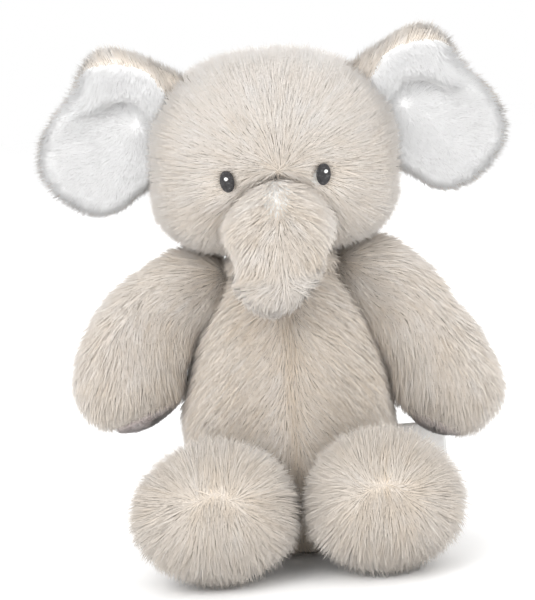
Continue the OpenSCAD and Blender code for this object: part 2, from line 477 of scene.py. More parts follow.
def ring_form(name, rings):
    """A closed form from rings of points. A ring of one point is a pole."""
    points, starts, faces = [], [], []
    for ring in rings:
        starts.append(len(points))
        points += [tuple(p) for p in ring]
    for a in range(len(rings) - 1):
        p, q = len(rings[a]), len(rings[a + 1])
        n = max(p, q)
        for i in range(n):
            j = (i + 1) % n
            low = [starts[a] + i % p, starts[a] + j % p]
            high = [starts[a + 1] + j % q, starts[a + 1] + i % q]
            face = low + high if p > 1 and q > 1 else (low[:1] + high if p == 1 else low + high[:1])
            faces.append(face)
    made = mesh_object(name, points, faces)
    bm = bmesh.new()
    bm.from_mesh(made.data)
    bmesh.ops.recalc_face_normals(bm, faces=bm.faces)
    if bm.calc_volume(signed=True) < 0:
        bmesh.ops.reverse_faces(bm, faces=bm.faces)
    bm.to_mesh(made.data)
    bm.free()
    return smooth(made)


def tangent(field, no):
    """The field laid along the surface, at unit length."""
    flat = field - no * np.sum(field * no, axis=1, keepdims=True)
    return flat / np.maximum(np.linalg.norm(flat, axis=1, keepdims=True), 1e-6)


def fade(value, low, high):
    """0 below low, 1 above high, smooth between."""
    t = np.clip((value - low) / (high - low), 0, 1)
    return t * t * (3 - 2 * t)


# ---------------------------------------------------------------- pile


def pile_tree():
    """Grows locks of pile on a mesh that holds flow, cover, pile and tone at its points."""
    tree = bpy.data.node_groups.new("plush_pile", "GeometryNodeTree")
    new = tree.interface.new_socket
    new("Geometry", in_out="INPUT", socket_type="NodeSocketGeometry")
    for name, default in (
        ("Length", 0.01), ("Width", 0.0005), ("Rise", 0.4), ("Density", 800000.0),
        ("Clump", 0.4), ("Wander", 0.35), ("Spread", 0.14), ("Roll", 0.4),
    ):
        new(name, in_out="INPUT", socket_type="NodeSocketFloat").default_value = default
    new("Seed", in_out="INPUT", socket_type="NodeSocketInt")
    for i in range(6):
        new(f"Shade {i + 1}", in_out="INPUT", socket_type="NodeSocketMaterial")
    new("Geometry", in_out="OUTPUT", socket_type="NodeSocketGeometry")
    bench = Bench(tree)
    source = tree.nodes.new("NodeGroupInput")
    given = {s.name: Wire(bench, s) for s in source.outputs if s.name}

    def stored(name, kind="FLOAT"):
        return bench.add(
            "GeometryNodeInputNamedAttribute", {"data_type": kind}, {"Name": name}, "Attribute"
        )

    def drawn(low, high, seed):
        return bench.add(
            "FunctionNodeRandomValue", {"data_type": "FLOAT"},
            {"Min": low, "Max": high, "Seed": given["Seed"].sum("ADD", given["Seed"], seed)},
            "Value",
        )

    def vector(operation, a, b, key=1):
        return bench.add("ShaderNodeVectorMath", {"operation": operation}, {0: a, key: b})

    cover = given["Density"] * stored("cover")
    grown = tree.nodes.new("GeometryNodeDistributePointsOnFaces")
    bench.plug(grown.inputs["Mesh"], given["Geometry"])
    bench.plug(bench.find(grown.inputs, "Density"), cover)
    bench.plug(grown.inputs["Seed"], given["Seed"])
    roots, facing = Wire(bench, grown.outputs["Points"]), Wire(bench, grown.outputs["Normal"])

    place = bench.add("GeometryNodeInputPosition")
    centre = (-0.5, -0.5, -0.5)
    swirl = bench.add("ShaderNodeTexNoise", {}, {"Vector": place, "Scale": 55.0, "Detail": 1.0}, "Color")
    tufts = bench.add("ShaderNodeTexNoise", {}, {"Vector": place, "Scale": 260.0, "Detail": 1.0}, "Color")
    bend = vector("SCALE", vector("ADD", swirl, centre), given["Wander"] * 2.0, "Scale")
    clump = vector("SCALE", vector("ADD", tufts, centre), given["Clump"] * 2.0, "Scale")
    flow = vector("ADD", vector("ADD", stored("flow", "FLOAT_VECTOR"), bend), clump)
    upright = bench.add("FunctionNodeAlignRotationToVector", {"axis": "Z"}, {"Vector": facing})
    laid = bench.add(
        "FunctionNodeAlignRotationToVector", {"axis": "Y", "pivot_axis": "Z"},
        {"Rotation": upright, "Vector": flow},
    )
    turn = bench.add("ShaderNodeCombineXYZ", {}, {"Y": drawn(-1.0, 1.0, 3) * given["Roll"]})
    rolled = bench.add(
        "FunctionNodeRotateRotation", {"rotation_space": "LOCAL"},
        {0: laid, 1: bench.add("FunctionNodeEulerToRotation", {}, {0: turn})},
    )
    reach = given["Length"] * stored("pile") * drawn(0.7, 1.15, 5)
    tone = stored("tone") + drawn(-0.5, 0.5, 7) * given["Spread"]
    tint = cloud(bench, place, 210, 1) - 0.5
    kept = bench.add(
        "GeometryNodeStoreNamedAttribute", {"data_type": "FLOAT", "domain": "POINT"},
        {"Geometry": roots, "Name": "lock_tone", "Value": tone + tint * 0.5},
    )
    kept = bench.add(
        "GeometryNodeStoreNamedAttribute", {"data_type": "FLOAT_VECTOR", "domain": "POINT"},
        {"Geometry": kept, "Name": "ground", "Value": facing},
    )

    # A lock is a spike of three faces, open only at its root, which stands in the cover.
    spike = tree.nodes.new("GeometryNodeMeshCone")
    spike.fill_type = "NONE"
    for key, value in (("Vertices", 3), ("Radius Top", 0.0), ("Radius Bottom", 0.6), ("Depth", 1.0)):
        bench.find(spike.inputs, key).default_value = value
    axes = tree.nodes.new("ShaderNodeSeparateXYZ")
    bench.plug(axes.inputs[0], place)
    across, deep, along = (Wire(bench, axes.outputs[key]) for key in "XYZ")
    shape = bench.add(
        "ShaderNodeCombineXYZ", {}, {"X": deep, "Y": along, "Z": along + across * 0.15 - 0.05}
    )
    blade = bench.add(
        "GeometryNodeSetPosition", {},
        {"Geometry": Wire(bench, spike.outputs["Mesh"]), "Position": shape},
    )

    scale = bench.add(
        "ShaderNodeCombineXYZ", {},
        {
            "X": given["Width"] * drawn(0.75, 1.3, 9),
            "Y": reach,
            "Z": reach * given["Rise"] * drawn(0.55, 1.35, 13),
        },
    )
    locks = bench.add(
        "GeometryNodeInstanceOnPoints", {},
        {"Points": kept, "Instance": blade, "Rotation": rolled, "Scale": scale},
    )
    made = bench.add("GeometryNodeRealizeInstances", {}, {"Geometry": locks})
    level = (stored("lock_tone") * 6.0).clamped(0.0, 5.99)
    for i in range(6):
        chosen = bench.add(
            "FunctionNodeCompare", {"data_type": "FLOAT", "operation": "EQUAL"},
            {"A": level.sum("FLOOR", level), "B": float(i), "Epsilon": 0.1},
        )
        made = bench.add(
            "GeometryNodeSetMaterial", {},
            {"Geometry": made, "Selection": chosen, "Material": given[f"Shade {i + 1}"]},
        )
    sink = tree.nodes.new("NodeGroupOutput")
    bench.plug(sink.inputs["Geometry"], made)
    return tree


def grow_pile(name, skin, shades, slot, soften=0.94, turn=None, **inputs):
    """One mesh of pile on a skin. turn(points, normals) changes the directions it is shaded by."""
    tree = bpy.data.node_groups.get("plush_pile") or pile_tree()
    base = skin.copy()
    base.data = skin.data.copy()
    bpy.context.scene.collection.objects.link(base)
    change = base.modifiers.new("pile", "NODES")
    change.node_group = tree
    values = {
        "Length": sizes().pile, "Width": sizes().strand, "Density": float(sizes().density),
        "Seed": sizes().seed,
    }
    values.update(inputs)
    values.update({f"Shade {i + 1}": s for i, s in enumerate(shades)})
    set_inputs(change, values)
    apply_modifiers(base)
    base.name = base.data.name = name
    mesh = base.data
    ground = np.empty(len(mesh.vertices) * 3, np.float32)
    mesh.attributes["ground"].data.foreach_get("vector", ground)
    own = normals(base)
    ground = ground.reshape(-1, 3)
    if turn:
        ground = turn(vertices(base), ground)
    own *= np.where(np.sum(own * ground, axis=1, keepdims=True) < 0, -1, 1)
    mixed = own * (1 - soften) + ground * soften
    mixed /= np.maximum(np.linalg.norm(mixed, axis=1, keepdims=True), 1e-6)
    for key in ("ground", "lock_tone"):
        mesh.attributes.remove(mesh.attributes[key])
    smooth(base)
    mesh.normals_split_custom_set_from_vertices([tuple(n) for n in mixed])
    return base


def dress(skin, flow, cover=None, pile=None, tone=None):
    """Stores what the pile needs to know at the skin's points."""
    count = len(skin.data.vertices)
    mark(skin, "flow", tangent(flow, normals(skin)))
    mark(skin, "cover", np.ones(count) if cover is None else cover)
    mark(skin, "pile", np.ones(count) if pile is None else pile)
    mark(skin, "tone", np.full(count, 0.6) if tone is None else tone)


def undress(skin):
    for key in ("flow", "cover", "pile", "tone"):
        skin.data.attributes.remove(skin.data.attributes[key])


def join(skin, body, parent=None, start=None, end=None):
    """Rides on a body, or, given a second body, keeps its place baked into its mesh."""
    if parent:
        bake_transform(skin)
    else:
        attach(skin, body)


def cover_with(skin, cloth):
    skin.data.materials.clear()
    skin.data.materials.append(cloth)
    return skin


def furred(skin, shades, seed, seam, node=None, fill=0.8, turn=None, **inputs):
    """Grows the pile on a dressed cover, joins both to their bodies and hides the CAD node that the cover
    takes the place of.
    """
    cover_with(skin, cream_cloth())
    name = skin.name.replace("_cover", "_pile").replace("_core", "_pile")
    inputs["Seed"] = sizes().seed + seed
    fur = grow_pile(name, skin, shades, "cream_plush", turn=turn, **inputs)
    undress(skin)
    for piece in (skin, fur):
        join(piece, *seam)
    if node:
        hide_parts(node)


# ---------------------------------------------------------------- pieces


def push_in(points, no, at, radius, depth):
    """Dents the surface round a point."""
    far = np.linalg.norm(points - np.array(at), axis=1)
    return points - no * (depth * (1 - fade(far, 0, radius)))[:, None]


def eye_middle(side):
    lo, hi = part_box(f"{side}_eye")
    return (lo + hi) / 2


class ELEPHANT_OT_torso(bpy.types.Operator):
    """Makes the torso's cover, its centre seam and its pile"""

    bl_idname = "elephant.torso"
    bl_label = "Torso"

    def execute(self, context):
        skin = outer_form("torso_cover", "torso_filling", SKIN)
        swell(skin, sizes().swell)
        p, n = vertices(skin), normals(skin)
        seam = np.exp(-((p[:, 0] / 0.003) ** 2)) * fade(-n[:, 1], 0.1, 0.5)
        p = p + n * (lumps(p, 0.03, 1) * 0.0008 - seam * 0.0012)[:, None]
        belly = np.exp(-(((p[:, 2] - 0.07) / 0.035) ** 2)) * fade(np.abs(p[:, 0]), 0.01, 0.035)
        p[:, 0] += np.where(p[:, 0] < 0, -0.0045, 0.0008) * belly
        p[:, 2] = np.maximum(p[:, 2], 0.0006)
        move_vertices(skin, p)
        n = normals(skin)
        x, z = p[:, 0], p[:, 2]
        front = fade(-n[:, 1], -0.2, 0.4)
        flow = np.stack(
            [np.tanh(x / 0.006) * (0.25 + 0.5 * front), -0.1 * front, -np.ones(len(p))], 1
        )
        near_seam = np.exp(-((x / 0.0025) ** 2)) * front
        # Painted shade: the torso is darkened beside the arms and at its top under the head.
        arms = fade(np.abs(x), 0.024, 0.046) * fade(z, 0.06, 0.11)
        tone = 0.34 + lumps(p, 0.022, 2) * 0.07 - near_seam * 0.25 - arms * 0.05
        tone -= fade(z, 0.125, 0.146) * 0.1
        seat = fade(z, 0.0015, 0.006)
        short = 0.35 + 0.65 * fade(z, 0.001, 0.02)
        dress(skin, flow, cover=0.25 + 0.75 * seat, pile=short, tone=tone)
        furred(skin, cream_pile(), 0, ("torso",), "torso_skin", Spread=0.3, Clump=0.55)
        return {"FINISHED"}


class ELEPHANT_OT_head(bpy.types.Operator):
    """Makes the head's cover with its eye dents, and its pile"""

    bl_idname = "elephant.head"
    bl_label = "Head"

    def execute(self, context):
        skin = outer_form("head_cover", "head_filling", SKIN)
        swell(skin, sizes().swell)
        p, n = vertices(skin), normals(skin)
        p = p + n * (lumps(p, 0.035, 3) * 0.0007)[:, None]
        jowl = np.exp(-(((p[:, 2] - 0.170) / 0.017) ** 2)) * fade(np.abs(p[:, 0]), 0.012, 0.036)
        p[:, 0] += jowl * np.sign(p[:, 0]) * 0.0062
        p[:, 2] -= jowl * 0.0022
        p = p + n * (fade(p[:, 2], 0.20, 0.25) * 0.0014)[:, None]
        for side, _ in SIDES:
            p = push_in(p, n, eye_middle(side), 0.012, 0.0034)
        move_vertices(skin, p)
        n = normals(skin)
        x, y, z = p.T
        out = p - np.array([0.002, -0.052, 0.1955])
        out /= np.maximum(np.linalg.norm(out, axis=1, keepdims=True), 0.004)
        behind = fade(y, -0.006, 0.022)[:, None]
        flow = out * (1 - behind) + np.array([0, 0.35, -1.0]) * behind
        chin = (1 - fade(z, 0.16, 0.176))[:, None] * (1 - behind)
        flow += chin * np.array([0, 0.5, -0.4])
        lie = tangent(flow, n)
        pile = np.ones(len(p))
        cover = np.ones(len(p))
        for side, _ in SIDES:
            eye = np.array(eye_middle(side))
            away = eye - p
            size = np.hypot(away[:, 0] / 0.0045, away[:, 2] / 0.0062)
            here = (y < -0.02) * 1.0
            cover *= 1 - here * (1 - fade(size, 0.75, 1.0))
            far = np.linalg.norm(away, axis=1)
            towards = np.sum(lie * away, axis=1) / np.maximum(far, 1e-4)
            gap = far * (1 - 1 / np.maximum(size, 1.001))
            reach = np.clip(gap / sizes().pile, 0.26, 1)
            heads_for_it = here * fade(towards, 0.2, 0.7) * (far < 0.02)
            pile = pile * (1 - heads_for_it) + np.minimum(pile, reach) * heads_for_it
            pile *= 1 - 0.4 * here * (1 - fade(size, 1.1, 1.9))
        under = 1 - fade(np.hypot(x / 0.020, (z - 0.171) / 0.0165), 0.85, 1.0)
        cover *= 1 - under * (y < -0.03)
        tone = 0.5 + lumps(p, 0.02, 4) * 0.07
        # Painted light makes the top of the head lighter, and painted shade darkens the chin.
        tone += fade(z, 0.195, 0.23) * 0.14
        tone -= (1 - fade(z, 0.156, 0.17)) * 0.12
        dress(skin, flow, cover=cover, pile=pile, tone=tone)

        def turn(points, facing):
            level = facing.copy()
            level[:, 1] = np.maximum(facing[:, 1], fade(points[:, 1], -0.042, -0.02) - 1)
            return level

        furred(skin, cream_pile(), 1, ("head",), "head_skin", 0.9, turn)
        return {"FINISHED"}


class ELEPHANT_OT_neck(bpy.types.Operator):
    """Makes the ring of pile between the head and the shoulders"""

    bl_idname = "elephant.neck"
    bl_label = "Neck"

    def execute(self, context):
        skin = outer_form("neck_cover", "neck_filling", 0.002)
        remesh(skin, sizes().voxel * 0.6)
        p = vertices(skin)
        ahead = fade(-p[:, 1], -0.012, 0.012)
        p[:, 0] *= 1.36 + 0.16 * ahead
        p[:, 1] *= 1.05 + 0.7 * ahead
        p[:, 2] -= 0.0015
        move_vertices(skin, p)
        flow = p * np.array([1.0, 1.0, 0]) * 12 + np.array([0, 0, -1.0])
        dress(skin, flow, pile=0.4 + 0.3 * ahead, tone=np.full(len(p), 0.3))
        furred(skin, cream_pile(), 2, ("head", "neck", *NECK_SEAM))
        return {"FINISHED"}


class ELEPHANT_OT_trunk(bpy.types.Operator):
    """Makes the trunk's cover and its pile"""

    bl_idname = "elephant.trunk"
    bl_label = "Trunk"

    def execute(self, context):
        skin = outer_form("trunk_cover", "trunk_filling", SKIN)
        swell(skin, sizes().swell)
        p, n = vertices(skin), normals(skin)
        p = p + n * (lumps(p, 0.016, 5) * 0.0006)[:, None]
        lower = 1 - fade(p[:, 2], 0.176, 0.194)
        tip = 1 - fade(p[:, 2], 0.132, 0.148)
        p[:, 0] *= 1.0 + (0.22 + 0.12 * (1 - fade(p[:, 2], 0.14, 0.16))) * lower - 0.2 * tip
        p[:, 2] -= 0.0015 * tip
        crest = fade(p[:, 2], 0.168, 0.188)
        p[:, 1] += 0.0055 * fade(p[:, 2], 0.158, 0.192)
        p[:, 0] *= 1 - 0.15 * crest
        move_vertices(skin, p)
        n = normals(skin)
        x, _, z = p.T
        low = 1 - fade(z, 0.146, 0.158)
        tip = 1 - fade(z, 0.136, 0.146)
        aside = np.tanh(x / 0.006) * ((0.45 + 0.9 * low) * (1 - tip) + 0.1 * tip)
        flow = np.stack([aside, -0.2 - 0 * x, -1 + 0.75 * low * (1 - tip)], 1)
        # Painted shade darkens the crease at the trunk's bend, and painted light lifts its top against the
        # shade under the brow.
        bend = np.exp(-(((z - 0.153) / 0.005) ** 2))
        tone = 0.4 + lumps(p, 0.012, 6) * 0.12 - bend * 0.1 + fade(z, 0.178, 0.188) * 0.08
        tone += (1 - fade(z, 0.145, 0.16)) * 0.15
        dress(skin, flow, tone=tone, pile=np.full(len(p), 0.85))
        furred(skin, cream_pile(), 3, ("trunk", "head", *TRUNK_SEAM), "trunk_skin", Wander=0.45)
        return {"FINISHED"}


# The ear from the front, in millimetres: distance from the middle of the head, and height.
EAR_EDGE = (
    (37, 240.5), (44, 245.5), (50.5, 249.3), (57, 253), (63, 256), (72, 259.6), (78, 260.3),
    (86, 257.8), (93.5, 251), (98.5, 241), (104, 234.5), (109.5, 229), (115, 222), (118.5, 215),
    (120.5, 205.8), (118.5, 195.5), (111, 185), (99.5, 176.5), (88, 173), (77, 175.5),
    (70, 181), (62.5, 185.7), (54, 193), (47, 206), (40, 222), (36, 233),
)
EAR_MIDDLE = (80.0, 216.0)
EAR_FORESHORTENED = 0.99
LINING_GROUND = ((0.72, 0.715, 0.71), (0.9, 0.895, 0.89))
# The top edge's roll: where it turns over, and where its lip ends.
FOLD_TOP = ((36, 222), (47, 226), (52, 235), (57.7, 243.5), (66.7, 248.8), (77, 251), (88, 250), (100, 243))
FOLD_LIP = ((36, 214), (52, 219), (56, 223.5), (60, 228), (67, 233.8), (75, 235.2), (85, 232), (100, 224))


def down_the_fold(top, lip, v):
    """0 at the top of the ear's rolled edge and 1 at its lip."""
    return (top - v) / np.maximum(top - lip, 4)


def spline(points, at):
    """A smooth curve's second number where its first is at."""
    xs, ys = np.array(points, float).T
    slope = np.gradient(ys, xs)
    i = np.clip(np.searchsorted(xs, at) - 1, 0, len(xs) - 2)
    h = xs[i + 1] - xs[i]
    t = np.clip((at - xs[i]) / h, 0, 1)
    return (
        ys[i] * (2 * t**3 - 3 * t**2 + 1) + slope[i] * h * (t**3 - 2 * t**2 + t)
        + ys[i + 1] * (3 * t**2 - 2 * t**3) + slope[i + 1] * h * (t**3 - t**2)
    )


def ear_dish(side):
    """The bowl of the CAD ear as a quadratic in x and z, so that the padded ear keeps its place."""
    p = vertices(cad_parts[f"{side}_ear_lining"]) * 1000
    x, z = np.abs(p[:, 0]), p[:, 2]
    terms = np.stack([np.ones(len(x)), x, z, x * x, z * z, x * z], 1)
    return np.linalg.lstsq(terms, p[:, 1], rcond=None)[0]


def ear_form(side, sign):
    """The ear as one closed form with its top edge rolled over."""
    edge = np.array(EAR_EDGE) / (1, EAR_FORESHORTENED)
    middle = np.array(EAR_MIDDLE)
    out = edge - middle
    angle = np.unwrap(np.arctan2(out[:, 1], out[:, 0]))
    reach = np.hypot(*out.T) - 3.0
    order = np.argsort(angle)
    angle, reach = angle[order], reach[order]
    spokes, rings = 132, 30
    theta = np.linspace(0, 2 * math.pi, spokes, endpoint=False)
    wide = np.concatenate([angle - 2 * math.pi, angle, angle + 2 * math.pi])
    radius = np.interp(theta, wide, np.tile(reach, 3))
    for _ in range(3):
        radius = (np.roll(radius, 1) + 2 * radius + np.roll(radius, -1)) / 4
    a = ear_dish(side)
    half = sizes().ear_thick * 500

    def layer(share, face):
        x = middle[0] + radius * share * np.cos(theta)
        z = middle[1] + radius * share * np.sin(theta)
        y = a[0] + a[1] * x + a[2] * z + a[3] * x * x + a[4] * z * z + a[5] * x * z
        edge_round = math.sqrt(max(0.0, 1 - share**6))
        y = y + face * half * edge_round
        v = z * EAR_FORESHORTENED
        top, lip = spline(FOLD_TOP, x), spline(FOLD_LIP, x)
        q = down_the_fold(top, lip, v)
        along = 1 - fade(x, 84, 99)
        if face < 0:
            ridge = fade(q, -0.75, 0.45) * (1 - fade(q, 0.88, 1.22))
            bowl = np.exp(-(((x - 86) / 13) ** 2 + ((v - 212) / 13) ** 2))
            hollow = np.exp(-(((q - 1.45) / 0.4) ** 2)) + 0.6 * bowl
            y = y - ridge * along * 6.5 * edge_round + hollow * (0.35 + 0.65 * along) * 2.4 * edge_round
        else:
            y = y - fade(-q, -0.4, 0.8) * along * 2.5
        return np.stack([x * sign, y, z], 1) * MM

    shares = np.sin(np.linspace(0, math.pi / 2, rings))
    layers = [layer(s, -1) for s in shares[1:]]
    back = [layer(s, 1) for s in shares[::-1][1:-1]]
    poles = [layer(0, -1)[:1], layer(0, 1)[:1]]
    return ring_form(f"{side}_ear_padding", [poles[0], *layers, *back, poles[1]])


class ELEPHANT_OT_ears(bpy.types.Operator):
    """Makes the padded ears with their rolled top edge, white lining and cream backs"""

    bl_idname = "elephant.ears"
    bl_label = "Ears"

    def execute(self, context):
        for side, sign in SIDES:
            self.ear(side, sign)
        return {"FINISHED"}

    def ear(self, side, sign):
        skin = ear_form(side, sign)
        p, n = vertices(skin), normals(skin)
        p = p + n * (lumps(p, 0.014, 7 + sign) * 0.0005)[:, None]
        move_vertices(skin, p)
        n = normals(skin)
        x, z = np.abs(p[:, 0]) * 1000, p[:, 2] * 1000
        v = z * EAR_FORESHORTENED
        top, lip = spline(FOLD_TOP, x), spline(FOLD_LIP, x)
        rim = self.edge_distance(x, v)
        front = fade(-n[:, 1], -0.05, 0.25)
        lined = front * fade(top - v, -0.6, 0.9) * fade(rim, 2.2, 3.8)
        out = np.stack([sign * (x - 50), 0 * x, (z - 216)], 1) / 40
        cloth = np.stack([0.35 * sign + 0 * x, 0 * x, 0.9 + 0 * x], 1)
        above = (fade(v - top, -2, 1) * fade(front, 0.2, 0.6))[:, None]
        cream_flow = out * (1 - above) + cloth * above
        # Painted shade darkens the ear near its root at the head.
        tone = 0.54 + lumps(p, 0.02, 9) * 0.06 - 0.22 * (1 - fade(x, 40, 56))
        tone -= 0.1 * (1 - fade(v - top, 0.2, 4)) * front
        short = 0.85 - 0.4 * (1 - fade(rim, 2, 7))
        dress(skin, cream_flow, cover=1 - lined, pile=short, tone=tone)
        cover_with(skin, cream_cloth())

        def turn(points, facing):
            x, z = np.abs(points[:, 0]) * 1000, points[:, 2] * 1000
            edge = (1 - fade(self.edge_distance(x, z * EAR_FORESHORTENED), 1, 9))[:, None]
            out = np.stack([sign * (x - EAR_MIDDLE[0]), 0 * x, z - EAR_MIDDLE[1]], 1)
            out /= np.maximum(np.linalg.norm(out, axis=1, keepdims=True), 1)
            return facing * (1 - edge) + out * edge

        fur = grow_pile(
            f"{side}_ear_pile", skin, cream_pile(), "cream_plush", turn=turn, Rise=0.28,
            Seed=sizes().seed + 4 + sign, Density=sizes().density * 0.95,
        )
        undress(skin)
        lip_flow = np.tile(np.array([0.3 * sign, 0, -1.0]), (len(p), 1))
        spread = np.stack([sign * (x - 68) / 35, 0 * x, (z - 222) / 35], 1)
        rolled = (1 - fade(down_the_fold(top, lip, v), 0.9, 1.2)) * (1 - fade(x, 84, 99))
        flow = spread * (1 - rolled)[:, None] + lip_flow * rolled[:, None]
        dress(
            skin, flow, cover=lined, pile=1 - 0.35 * (1 - fade(rim, 2, 6)),
            tone=0.78 + lumps(p, 0.01, 10) * 0.08,
        )
        skin.data.materials.append(cached("lining_ground", backing_cloth, *LINING_GROUND))
        for face in skin.data.polygons:
            face.material_index = int(lined[list(face.vertices)].mean() > 0.5)
        pile = grow_pile(
            f"{side}_ear_lining_pile", skin, lining_pile(), "white_short_plush", turn=turn,
            Length=sizes().ear_pile, Rise=0.62, Wander=0.5, Clump=0.6,
            Seed=sizes().seed + 6 + sign, Density=sizes().density * 1.7,
            Width=sizes().strand * 0.85,
        )
        undress(skin)
        start = (sign * 0.052, 0.003, 0.214)
        end = (sign * 0.068, 0.003, 0.214)
        for piece in (skin, fur, pile):
            join(piece, f"{side}_ear", "head", start, end)
        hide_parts(f"{side}_ear_back", f"{side}_ear_lining")

    @staticmethod
    def edge_distance(x, v):
        """How far inside the ear's outline each point is, in millimetres."""
        edge = np.array(EAR_EDGE)
        a, b = edge, np.roll(edge, -1, axis=0)
        best = np.full(len(x), 1e9)
        for (ax, av), (bx, bv) in zip(a, b):
            if ax < 60 and bx < 60 and av < 235:
                continue
            dx, dv = bx - ax, bv - av
            t = np.clip(((x - ax) * dx + (v - av) * dv) / (dx * dx + dv * dv), 0, 1)
            best = np.minimum(best, np.hypot(x - ax - t * dx, v - av - t * dv))
        return best


def hang_arm(points, side, sign):
    """How each arm has settled: a fuller shoulder on both, and the left arm straighter and lower."""
    p = points.copy()
    out = p[:, 0] * sign
    shoulder = 1 - fade(out, 0.045, 0.07)
    p[:, 2] += 0.0032 * shoulder * fade(p[:, 2], 0.125, 0.145)
    inside = 1 - fade(out, 0.055, 0.078)
    inside *= fade(p[:, 2], 0.068, 0.082) * (1 - fade(p[:, 2], 0.108, 0.128))
    p[:, 0] -= sign * 0.0036 * inside
    if side == "left":
        low = 1 - fade(p[:, 2], 0.07, 0.105)
        elbow = np.exp(-(((p[:, 2] - 0.122) / 0.014) ** 2)) * fade(out, 0.05, 0.075)
        p[:, 0] += sign * (0.0045 * low - 0.0042 * elbow)
        p[:, 2] -= 0.0035 * low + 0.002 * elbow
    else:
        p[:, 0] += sign * 0.001 * (1 - fade(p[:, 2], 0.08, 0.12))
        p[:, 2] -= 0.001 * (1 - fade(p[:, 2], 0.08, 0.12))
    return p


class ELEPHANT_OT_arms(bpy.types.Operator):
    """Makes the arms' covers and their pile"""

    bl_idname = "elephant.arms"
    bl_label = "Arms"

    def execute(self, context):
        for side, sign in SIDES:
            skin = outer_form(f"{side}_arm_cover", f"{side}_arm_filling", SKIN)
            swell(skin, sizes().swell)
            p, n = vertices(skin), normals(skin)
            p = p + n * (lumps(p, 0.024, 12 + sign) * 0.0009)[:, None]
            reach = self.pad_distance(side, p)
            p = hang_arm(p, side, sign)
            move_vertices(skin, p)
            n = normals(skin)
            x, _, z = p.T
            out = np.abs(x)
            upper = (1 - fade(out, 0.045, 0.075)) * fade(z, 0.1, 0.13)
            down = 1 - upper
            flow = np.stack([sign * (1.1 * upper + 0.12 * down), 0 * x, -(0.45 * upper + 1.0 * down)], 1)
            toward_body_shade = fade(-n[:, 0] * sign, 0.2, 0.8)
            cover = fade(reach, -0.0006, 0.0006)
            # Painted shade darkens the inner side, which faces the body.
            tone = 0.43 + lumps(p, 0.02, 14) * 0.08 - toward_body_shade * 0.1
            pile = 1 - (0.1 if side == "left" else 0.5) * (1 - fade(reach, 0, 0.007))
            dress(skin, flow, cover=cover, pile=pile, tone=tone)
            start, end = (sign * 0.040, 0, 0.138), (sign * 0.062, -0.002, 0.128)
            seam = (f"{side}_arm", "torso", start, end)
            furred(skin, cream_pile(), 20 + sign, seam, f"{side}_arm_skin")
        return {"FINISHED"}

    @staticmethod
    def pad_distance(side, points):
        """Distance of each point from the paw pad's outline, below zero under the pad."""
        pad = vertices(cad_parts[f"{side}_paw_pad"])
        middle = pad.mean(0)
        spread = np.linalg.svd(pad - middle, full_matrices=False)[2]
        facing = spread[2]
        flat = (pad - middle) - np.outer((pad - middle) @ facing, facing)
        radius = np.linalg.norm(flat, axis=1).max()
        away = points - middle
        depth = away @ facing
        level = np.linalg.norm(away - np.outer(depth, facing), axis=1)
        near = np.abs(depth) < 0.014
        return np.where(near, level - radius, 0.05)


class ELEPHANT_OT_paw_pads(bpy.types.Operator):
    """Makes the suede paw pads"""

    bl_idname = "elephant.paw_pads"
    bl_label = "Paw pads"

    def execute(self, context):
        c = tuple(colours().mauve)

        def paint(bench, place):
            blotch = cloud(bench, place, 160, 3)
            nap = cloud(bench, place, 1500, 3)
            mixed = blotch * 0.55 + nap * 0.45
            return {
                "Base_Color": ramped(
                    bench, mixed, (0.3, between(BLACK, c, 0.55)), (0.5, c),
                    (0.72, between(c, WHITE, 0.25)),
                ),
                "Normal": bumped(bench, nap, 0.8, 0.0004),
            }

        suede = material("mauve_suede", 0.88, 0.35, paint)
        low, high = between(BLACK, c, 0.6), between(c, WHITE, 0.35)
        nap = pile_shades("mauve_nap", low, c, high)
        for side, sign in SIDES:
            skin = outer_form(f"{side}_paw_suede", f"{side}_paw_pad", 0.0009, 0.0005)
            change = skin.modifiers.new("fewer", "DECIMATE")
            change.ratio = 0.25
            apply_modifiers(skin)
            smooth(skin)
            p, n = hang_arm(vertices(skin), side, sign), normals(skin)
            move_vertices(skin, p)
            down = np.tile(np.array([-0.4 * sign, -0.6, -0.7]), (len(p), 1))
            facing = fade(-n[:, 2] - n[:, 0] * sign * 0.5, 0.0, 0.5)
            dress(skin, down, cover=facing, tone=0.55 + lumps(p, 0.006, 16) * 0.16)
            cover_with(skin, suede)
            fuzz = grow_pile(
                f"{side}_paw_nap", skin, nap, "mauve_suede", Length=0.0021, Rise=0.6,
                Width=0.0003, Wander=0.6, Clump=0.9, Seed=sizes().seed + 30 + sign,
                Density=sizes().density * 3.5,
            )
            undress(skin)
            for piece in (skin, fuzz):
                join(piece, f"{side}_arm")
            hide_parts(f"{side}_paw_pad")
        return {"FINISHED"}


